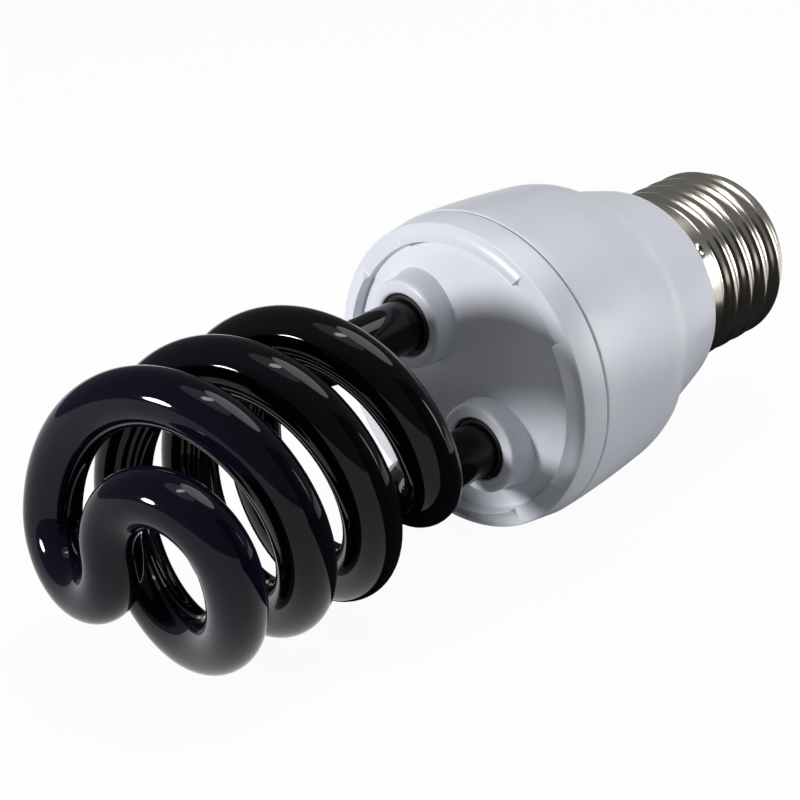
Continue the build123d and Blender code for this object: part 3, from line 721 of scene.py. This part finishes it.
@dataclass
class FrontCover:
    """The white cover with its dished floor, stepped rim and two collars."""

    rim_radius: float = 21.8
    cover_radius: float = 22.3
    back: float = 4.1
    rim_height: float = 1.0
    rim_inner: float = 19.4
    dish_depth: float = 0.9
    dish_radius: float = 19.2
    dome_height: float = 2.1
    wall: float = 1.8
    skirt_radius: float = 20.51
    skirt_wall: float = 1.7
    skirt_end: float = 12.4
    recesses: int = 4
    recess_angle: float = 28.0
    recess_phase: float = 46.0
    flank_angle: float = 0.9
    flank_lines: int = 5
    flank_line_angle: float = 0.11
    # How far the rim's face sinks under its chord, and in how many runs
    rim_arc: tuple[float, int] = (-0.35, 6)
    edge_radius: float = 0.25
    collar_front: float = 4.0
    collar_radius: float = 6.3
    collar_bore: float = 4.4
    collar_end: float = 6.5
    # The foot's points: how far behind the dish's edge they lie, and how far they stand out
    collar_foot: tuple[tuple[float, float], ...] = (
        (-1.6, 0.2), (-0.9, 0.35), (-0.3, 0.75), (0.6, 1.2), (0.9, 0.0),
    )
    # How much each rounding of the collar takes, and in how many runs
    collar_rounding: tuple[float, int] = (0.6, 5)
    collar_steps: int = 96
    drill_spare: float = 2.0
    drill_steps: int = 72
    round_steps: int = 144
    floor_steps: int = 16
    sharp: float = 40.0
    joined_sharp: float = 38.0

    def in_recess(self, angle: float) -> float:
        """Says how far an angle lies inside a recess.

        Args:
            angle: The angle in degrees.

        Returns:
            1 inside a recess, 0 outside and between on its short flank.
        """
        spread = 360 / self.recesses
        off = abs((angle - self.recess_phase + spread / 2) % spread - spread / 2)
        return smooth((self.recess_angle / 2 - off) / self.flank_angle + 0.5)

    def angles(self) -> list[float]:
        """Gives angles round the cover, closer together at the recesses' flanks."""
        made = set(round(360 * step / self.round_steps, 4) for step in range(self.round_steps))
        for count in range(self.recesses):
            for edge in (-1, 1):
                middle = self.recess_phase + count * 360 / self.recesses + edge * self.recess_angle / 2
                lines = range(-self.flank_lines, self.flank_lines + 1)
                made.update(round((middle + line * self.flank_line_angle) % 360, 4) for line in lines)
        return sorted(made)

    def stepped(self, station: float, radius: float, angle: float) -> tuple[float, float]:
        """Cuts the raised rim away inside a recess.

        Args:
            station: The profile's station.
            radius: Its radius.
            angle: The angle in degrees.

        Returns:
            The changed station and radius.
        """
        # Nearer the axis it is the domed floor that lies before station 0, and it stays.
        if station < 0 and radius > self.dish_radius - self.dome_height:
            return station * (1 - self.in_recess(angle)), radius
        return station, radius

    def body(self) -> Solid:
        """Turns the cover without its collars.

        Returns:
            The turned cover.
        """
        skirt_bore = self.skirt_radius - self.skirt_wall
        radii = [self.dish_radius * step / self.floor_steps for step in reversed(range(self.floor_steps))]
        domes = [self.dome_height * (1 - (radius / self.dish_radius) ** 2) for radius in radii]
        floor = [(self.dish_depth - dome, radius) for dome, radius in zip(domes, radii)]
        share = skirt_bore / self.dish_radius
        under = [(station + self.wall, radius * share) for station, radius in reversed(floor)]
        outer = eased(
            [
                (self.back, self.skirt_radius),
                (self.back, self.cover_radius),
                (0.0, self.rim_radius),
                *arc((0.0, self.rim_radius), (-self.rim_height, self.rim_inner), *self.rim_arc)[1:],
                (self.dish_depth, self.dish_radius),
                floor[0],
            ],
            self.edge_radius,
            closed=False,
        )
        back = [
            (self.dish_depth + self.wall, skirt_bore),
            (self.skirt_end, skirt_bore),
            (self.skirt_end, self.skirt_radius),
        ]
        return lathe(outer + floor[1:] + under + back, self.angles(), shape=self.stepped).build(
            "moulded_front_cover", Finishes.WHITE_ABS.value.material(), self.sharp
        )

    def collar(self, up: float, side: float) -> Solid:
        """Turns one bored collar, whose foot flares into the floor.

        Args:
            up: The leg's place, upwards.
            side: The leg's place, towards -Y.

        Returns:
            The collar's solid.
        """
        profile = eased(
            [
                (-self.collar_front, self.collar_bore),
                (-self.collar_front, self.collar_radius),
                *((self.dish_depth + behind, self.collar_radius + out) for behind, out in self.collar_foot),
                (self.collar_end, self.collar_radius),
                (self.collar_end, self.collar_bore),
            ],
            *self.collar_rounding,
        )
        ring = lathe(profile, even_angles(self.collar_steps), up, side)
        return ring.build("collar", Finishes.WHITE_ABS.value.material())

    def drill(self, up: float, side: float) -> Solid:
        """Makes the tool that opens the floor under one collar.

        Args:
            up: The leg's place, upwards.
            side: The leg's place, towards -Y.

        Returns:
            The tool's solid.
        """
        steps, reach = self.drill_steps, (self.collar_bore + self.collar_radius) / 2
        edge = [polar(reach, angle) for angle in even_angles(steps)]
        rows = [
            [LAMP.place(up + out[0], side + out[1], station) for out in edge]
            for station in (-self.collar_front - self.drill_spare, self.collar_end + self.drill_spare)
        ]
        draft = Draft()
        draft.grid(rows, False, True)
        draft.faces += [tuple(range(steps)), tuple(range(steps, 2 * steps))]
        return draft.build("drill", Finishes.WHITE_ABS.value.material())

    def build(self, legs: Sequence[tuple[float, float]]) -> Solid:
        """Opens the floor for each leg and joins the collars to it.

        Args:
            legs: Up and side of the two legs.

        Returns:
            The cover.
        """
        cover = self.body()
        for up, side in legs:
            combined(cover, self.drill(up, side), "DIFFERENCE")
        for up, side in legs:
            combined(cover, self.collar(up, side), "UNION")
        tidy(cover.data, self.joined_sharp)
        settle(cover, "white_plastic", "front_cover")
        return cover


@dataclass
class CementAndGapShadeRings:
    """Black rings round the legs in their collars' bores: the cement that holds the legs, and near the
    collars' front painted shade of the gap round each leg.
    """

    tube_radius: float = 3.7
    bore: float = 4.4
    # The rings reach nearly to the collars' front, so their black paints the shade in the gap between leg
    # and bore
    front: float = 3.7
    back: float = 5.6
    climb: float = 0.2
    face_steps: int = 8
    round_steps: int = 72

    def build(self, legs: Sequence[tuple[float, float]]) -> Solid:
        """Turns both rings, whose faces climb the glass and the bore a little.

        Args:
            legs: Up and side of the two legs.

        Returns:
            Both rings as one piece.
        """
        draft = Draft()
        for up, side in legs:
            profile = []
            for step in range(self.face_steps + 1):
                share = step / self.face_steps
                climb = self.climb * (1 - 4 * share * (1 - share))
                radius = self.tube_radius + (self.bore - self.tube_radius) * share
                profile.append((-self.front + self.climb - climb, radius))
            profile += [(self.back, self.bore), (self.back, self.tube_radius)]
            ring = lathe(profile, even_angles(self.round_steps), up, side)
            base = len(draft.spots)
            draft.spots.extend(ring.spots)
            draft.faces.extend(tuple(base + corner for corner in corners) for corners in ring.faces)
        made = draft.build("cement_and_gap_shade_rings", Finishes.CEMENT_AND_GAP_SHADE.value.material())
        settle(made, "black_cement", "tube_cement")
        return made


@dataclass
class Housing:
    """The white rear shell: body, shoulder, neck and the spigot under the cap."""

    front: float = 4.3
    radius: float = 22.36
    wall: float = 1.7
    shoulder: tuple[float, float] = (19.3, 21.25)
    ridge: tuple[float, float] = (23.1, 20.45)
    foot: tuple[float, float] = (25.2, 18.9)
    neck: tuple[float, float] = (27.4, 17.95)
    neck_end: tuple[float, float] = (36.94, 15.44)
    end: float = 38.0
    end_radius: float = 14.3
    board: float = 14.0
    ledge: float = 19.26
    ledge_length: float = 2.0
    spigot: tuple[float, float] = (41.2, 12.25)
    spigot_bore: float = 10.6
    # How far each arc of the outside swells over its chord, and in how many runs it is drawn
    body_arc: tuple[float, int] = (0.17, 12)
    shoulder_arc: tuple[float, int] = (0.14, 6)
    foot_arc: tuple[float, int] = (-0.12, 6)
    neck_arc: tuple[float, int] = (0.1, 10)
    end_arc: tuple[float, int] = (0.24, 6)
    edge_radius: float = 0.22
    round_steps: int = 192
    sharp: float = 30.0

    def build(self) -> Solid:
        """Turns the shell's closed profile.

        Returns:
            The housing.
        """
        outer = arc((self.front, self.radius), self.shoulder, *self.body_arc)
        outer += arc(self.shoulder, self.ridge, *self.shoulder_arc)[1:]
        outer += [self.foot]
        outer += arc(self.foot, self.neck, *self.foot_arc)[1:]
        outer += arc(self.neck, self.neck_end, *self.neck_arc)[1:]
        outer += arc(self.neck_end, (self.end, self.end_radius), *self.end_arc)[1:]
        bore = self.radius - self.wall
        inner = [
            (self.end, self.spigot[1]),
            self.spigot,
            (self.spigot[0], self.spigot_bore),
            (self.end - self.wall, self.spigot_bore),
            (self.end - self.wall, self.neck_end[1] - self.wall),
            (self.neck[0], self.neck[1] - self.wall),
            (self.foot[0] - self.wall / 2, self.foot[1] - self.wall),
            (self.shoulder[0], self.shoulder[1] - self.wall),
            (self.board + self.ledge_length, self.shoulder[1] - self.wall),
            (self.board + self.ledge_length, self.ledge),
            (self.board, self.ledge),
            (self.board, bore),
            (self.front, bore),
        ]
        made = lathe(eased(outer + inner, self.edge_radius), even_angles(self.round_steps)).build(
            "moulded_housing", Finishes.WHITE_ABS.value.material(), self.sharp
        )
        settle(made, "white_plastic", "housing")
        return made


@dataclass
class ScrewShell:
    """The thin nickel plated shell with its rolled thread and punched stake marks."""

    start: float = 38.1
    sheet: float = 0.35
    band_radius: float = 12.75
    band_end: float = 42.7
    root: float = 12.13
    crest: float = 13.1
    pitch: float = 3.629
    thread_start: float = 44.0
    thread_phase: float = -44.4
    thread_end: float = 57.9
    end: float = 60.3
    end_radius: float = 10.2
    end_power: float = 1.6
    step_lead: float = 0.2
    step_length: float = 0.9
    run_in_gap: float = 0.1
    run_in: float = 1.3
    run_out_gap: float = 0.2
    run_out: float = 1.4
    stakes: int = 4
    stake_phase: float = 50.0
    stake_station: float = 40.6
    stake_size: float = 0.9
    stake_flat: float = 0.35
    stake_depth: float = 0.3
    lip: float = 0.06
    curl: tuple[float, float] = (0.14, 0.1)
    rings_per_mm: int = 10
    end_rings: int = 10
    lining_skip: int = 3
    round_steps: int = 224
    sharp: float = 45.0

    def wave(self, off: float) -> float:
        """Gives the height of the thread's round ridge as a share of its depth.

        Args:
            off: Distance along the axis from the ridge's crest.

        Returns:
            1 on the crest and 0 in the groove, over two arcs of one radius.
        """
        quarter, half_depth = self.pitch / 4, (self.crest - self.root) / 2
        radius = (quarter**2 + half_depth**2) / (2 * half_depth)
        away = abs((off + self.pitch / 2) % self.pitch - self.pitch / 2)
        reach = min(away, self.pitch / 2 - away)
        sunk = (radius - (radius**2 - reach**2) ** 0.5) / (2 * half_depth)
        return 1 - sunk if away <= quarter else sunk

    def outer(self, station: float, angle: float) -> float:
        """Gives the shell's outer radius at a place.

        Args:
            station: The station.
            angle: The angle in degrees.

        Returns:
            The radius.
        """
        if station >= self.thread_end:
            share = (station - self.thread_end) / (self.end - self.thread_end)
            return self.root - (self.root - self.end_radius) * share**self.end_power
        stepped = smooth((station - self.band_end + self.step_lead) / self.step_length)
        base = self.band_radius - (self.band_radius - self.root) * stepped
        crest_station = self.thread_start + self.pitch * (angle - self.thread_phase) / 360
        wave = self.wave(station - crest_station)
        run_in = smooth((station - self.band_end - self.run_in_gap) / self.run_in)
        run_out = smooth((self.thread_end - self.run_out_gap - station) / self.run_out)
        lift = (self.crest - self.root) * wave * run_in * run_out
        dent = 0.0
        for stake in range(self.stakes):
            off = (angle - self.stake_phase - stake * 360 / self.stakes + 180) % 360 - 180
            far = hypot(radians(off) * self.band_radius, station - self.stake_station) / self.stake_size
            dent += self.stake_depth * (1 - smooth((far - self.stake_flat) / (1 - self.stake_flat)))
        return base + lift - dent

    def build(self) -> Solid:
        """Makes the outer and inner skin and joins them at both edges.

        Returns:
            The shell.
        """
        rings = int((self.thread_end - self.start) * self.rings_per_mm)
        closing = self.end - self.thread_end
        stations = [self.start + step / self.rings_per_mm for step in range(rings)]
        stations += [self.thread_end + closing * step / self.end_rings for step in range(self.end_rings + 1)]
        rows = []
        for angle in even_angles(self.round_steps):
            skin = [(station, self.outer(station, angle)) for station in stations]
            lining = [(station, radius - self.sheet) for station, radius in skin[::-self.lining_skip]]
            if lining[-1][0] > self.start:
                lining.append((self.start, skin[0][1] - self.sheet))
            lip = (skin[0][0] - self.lip, skin[0][1] - self.sheet / 2)
            curl = [
                (self.end + self.curl[0], self.end_radius - self.curl[1]),
                (self.end + self.curl[1], self.end_radius - self.sheet),
            ]
            ring = [lip] + skin + curl + lining
            rows.append([LAMP.place(*polar(radius, angle), station) for station, radius in ring])
        draft = Draft()
        draft.grid(rows, True, True)
        made = draft.build("nickel_screw_shell", Finishes.NICKEL.value.material(), self.sharp)
        settle(made, "nickel_plate", "cap_shell")
        return made


@dataclass
class InnerParts:
    """The CAD nodes that keep their shape and get a finish."""

    finishes: dict[str, Finishes] = field(default_factory=lambda: {
        "cap_insulator": Finishes.CAP_GLASS,
        "centre_contact": Finishes.NICKEL,
        "centre_solder": Finishes.SOLDER,
        "ballast_board": Finishes.BOARD,
        "choke_core": Finishes.FERRITE,
        "choke_bobbin": Finishes.BOBBIN,
        "choke_winding": Finishes.COPPER,
        "ring_core": Finishes.FERRITE,
        "ring_windings": Finishes.COPPER,
        "electrolytic_capacitor": Finishes.SLEEVE_FILM,
        "start_capacitor": Finishes.DIPPED,
        "coupling_capacitor": Finishes.DIPPED,
        "filter_capacitor": Finishes.DIPPED,
        "power_transistors": Finishes.EPOXY,
        "rectifier_diodes": Finishes.EPOXY,
        "resistors": Finishes.LACQUER,
        "trigger_diode": Finishes.LACQUER,
        "thermistor": Finishes.DISC_COAT,
        "filter_core": Finishes.FERRITE,
        "filter_winding": Finishes.COPPER,
        "fuse_resistor": Finishes.LACQUER,
        "fuse_sleeve": Finishes.GLASS_FIBRE,
        "lead_posts": Finishes.TINNED,
        "tube_leads": Finishes.TINNED,
        "shell_lead": Finishes.TINNED,
    })

    def dress(self) -> None:
        """Gives each node its material."""
        for name, finish in self.finishes.items():
            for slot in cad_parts[name].material_slots:
                slot.material = finish.value.material()
        log.info("dressed %d nodes", len(self.finishes))


# Lamps, floor and camera
@dataclass(frozen=True)
class SoftBox:
    """A round or oval lamp that faces the bulb, with its place and size in metres."""

    name: str
    spot: Spot
    size: tuple[float, float]
    watts: float
    aim: Spot = (0, 0, 0.02)

    def hang(self) -> None:
        """Adds the lamp to the scene."""
        light = bpy.data.lights.new(self.name, "AREA")
        light.shape = "ELLIPSE"
        light.size, light.size_y = self.size
        light.energy = self.watts
        holder = bpy.data.objects.new(self.name, light)
        holder.location = self.spot
        holder.rotation_euler = (Vector(self.aim) - Vector(self.spot)).to_track_quat("-Z", "Y").to_euler()
        bpy.context.scene.collection.objects.link(holder)


@dataclass
class Studio:
    """Floor, card, lamps and background in metres, and a camera in the lamp's own frame."""

    camera_spot: Spot = (139.04, 197.1, -217.89)
    camera_right: Spot = (-0.0274, 0.7315, 0.6812)
    camera_down: Spot = (-0.8996, 0.279, -0.3358)
    focal_px: float = 2400.0
    image_px: float = 800.0
    sensor_mm: float = 36.0
    near_clip: float = 0.01
    lamps: tuple[SoftBox, ...] = (
        SoftBox("key_soft_box", (-0.46, 0.13, 0.12), (0.08, 0.08), 2.0),
        SoftBox("side_panel", (0.34, -0.38, 0.14), (0.22, 0.28), 1.0, (0, 0, 0.03)),
        SoftBox("rear_panel", (0.22, -0.05, 0.5), (0.36, 0.36), 1.15),
        SoftBox("top_panel", (-0.05, 0.0, 0.5), (0.3, 0.3), 0.22),
        SoftBox("top_core", (-0.04, 0.0, 0.48), (0.04, 0.16), 0.2),
    )
    card_reach: tuple[float, float] = (-0.03, 0.1)
    card_depth: float = -0.12
    card_height: float = 0.15
    card_back: float = 0.04
    card_lift: float = 0.001
    card_colour: str = "#303030"
    floor_reach: float = 3.0
    floor_colour: str = "#c4c6c8"
    floor_seen: str = "#f8f9fa"
    floor_glow: float = 0.95
    world_colour: str = "#eceef2"
    world_light: float = 0.05
    world_sheen: float = 0.2

    def camera(self) -> None:
        """Puts the camera where the photo's perspective says."""
        right, down = LAMP.turn(*self.camera_right), LAMP.turn(*self.camera_down)
        right.normalize()
        down = (down - right * down.dot(right)).normalized()
        back = -right.cross(down)
        lens = bpy.data.cameras.new("camera")
        lens.sensor_width = self.sensor_mm
        lens.lens = self.focal_px / self.image_px * self.sensor_mm
        lens.clip_start = self.near_clip
        eye = bpy.data.objects.new("camera", lens)
        turn = Matrix((right, -down, back)).transposed().to_4x4()
        eye.matrix_world = Matrix.Translation(LAMP.place(*self.camera_spot)) @ turn
        bpy.context.scene.collection.objects.link(eye)
        bpy.context.scene.camera = eye

    def seen_by(self, tree: Tree, *kinds: str) -> Socket:
        """Tells the rays of some kinds from all others.

        Args:
            tree: The node tree of the floor or the world.
            kinds: The Light Path node's names of the kinds.

        Returns:
            A socket that is 1 for these rays and 0 for others.
        """
        path = add_node(tree, "ShaderNodeLightPath")
        seen = path.outputs[kinds[0]]
        for kind in kinds[1:]:
            both = {0: seen, 1: path.outputs[kind]}
            seen = add_node(tree, "ShaderNodeMath", {"operation": "MAXIMUM"}, both).outputs[0]
        return seen

    def dark_card(self) -> None:
        """Sets a bent dark card beside the cap, which only the shiny surfaces see."""
        draft = Draft()
        rows = [
            (self.card_depth, self.card_height),
            (self.card_depth, self.card_lift),
            (self.card_back, self.card_lift),
        ]
        draft.grid([[Vector((x, y, z)) for x in self.card_reach] for y, z in rows], False, False)
        dark = bpy.data.materials.new("dark card")
        dark.use_nodes = True
        shader = dark.node_tree.nodes["Principled BSDF"]
        shader.inputs["Base Color"].default_value = linear(self.card_colour)
        shader.inputs["Roughness"].default_value = 1.0
        shader.inputs["Specular IOR Level"].default_value = 0.0
        card = draft.build("dark_card", dark)
        card.visible_camera = card.visible_transmission = False
        card.visible_diffuse = card.visible_shadow = False

    def floor(self) -> None:
        """Lays the pale floor, white to the camera and in reflections, with the bulb's shadow on it."""
        ends = (-self.floor_reach, self.floor_reach)
        draft = Draft()
        draft.grid([[Vector((x, y, 0)) for x in ends] for y in ends], False, False)
        pale = bpy.data.materials.new("pale paper floor")
        pale.use_nodes = True
        tree = pale.node_tree
        tree.nodes.clear()
        seen = self.seen_by(tree, "Is Camera Ray", "Is Transmission Ray", "Is Glossy Ray")
        tone = add_node(tree, "ShaderNodeMix", {"data_type": "RGBA"}, {
            0: seen, 6: linear(self.floor_colour), 7: linear(self.floor_seen),
        })
        paper = add_node(tree, "ShaderNodeBsdfDiffuse", {}, {"Color": tone.outputs[2]})
        glow = add_node(tree, "ShaderNodeEmission", {}, {"Color": (1, 1, 1, 1), "Strength": 1.0})
        share = add_node(tree, "ShaderNodeMath", {"operation": "MULTIPLY"}, {0: seen, 1: self.floor_glow})
        mix = add_node(tree, "ShaderNodeMixShader", {}, {
            0: share.outputs[0], 1: paper.outputs[0], 2: glow.outputs[0],
        })
        add_node(tree, "ShaderNodeOutputMaterial", {}, {"Surface": mix.outputs[0]})
        plane = draft.build("floor", pale)

    def world(self) -> None:
        """Makes the background white and lets a soft grey light fall from all round."""
        world = bpy.data.worlds.new("studio")
        bpy.context.scene.world = world
        world.use_nodes = True
        tree = world.node_tree
        tree.nodes.clear()
        seen = self.seen_by(tree, "Is Camera Ray", "Is Transmission Ray")
        shiny = self.seen_by(tree, "Is Glossy Ray")
        sheen = add_node(tree, "ShaderNodeMapRange", {}, {
            "Value": shiny, "To Min": self.world_light, "To Max": self.world_sheen,
        })
        soft = add_node(tree, "ShaderNodeBackground", {}, {
            "Color": linear(self.world_colour), "Strength": sheen.outputs["Result"],
        })
        white = add_node(tree, "ShaderNodeBackground", {}, {"Color": (1, 1, 1, 1), "Strength": 1.0})
        mix = add_node(tree, "ShaderNodeMixShader", {}, {0: seen, 1: soft.outputs[0], 2: white.outputs[0]})
        add_node(tree, "ShaderNodeOutputWorld", {}, {"Surface": mix.outputs[0]})

    def build(self) -> None:
        """Sets the whole studio up."""
        self.floor()
        self.world()
        self.camera()
        self.dark_card()
        for lamp in self.lamps:
            lamp.hang()
        bpy.context.scene.view_settings.view_transform = "Standard"


def main() -> None:
    """Builds the pieces in order, then the studio."""
    logging.basicConfig(level=logging.INFO, format="%(name)s: %(message)s")
    tube = SpiralTube()
    tube.build()
    legs = tube.legs()
    FrontCover().build(legs)
    CementAndGapShadeRings().build(legs)
    Housing().build()
    ScrewShell().build()
    InnerParts().dress()
    Studio().build()


if __name__ == "__main__":
    main()
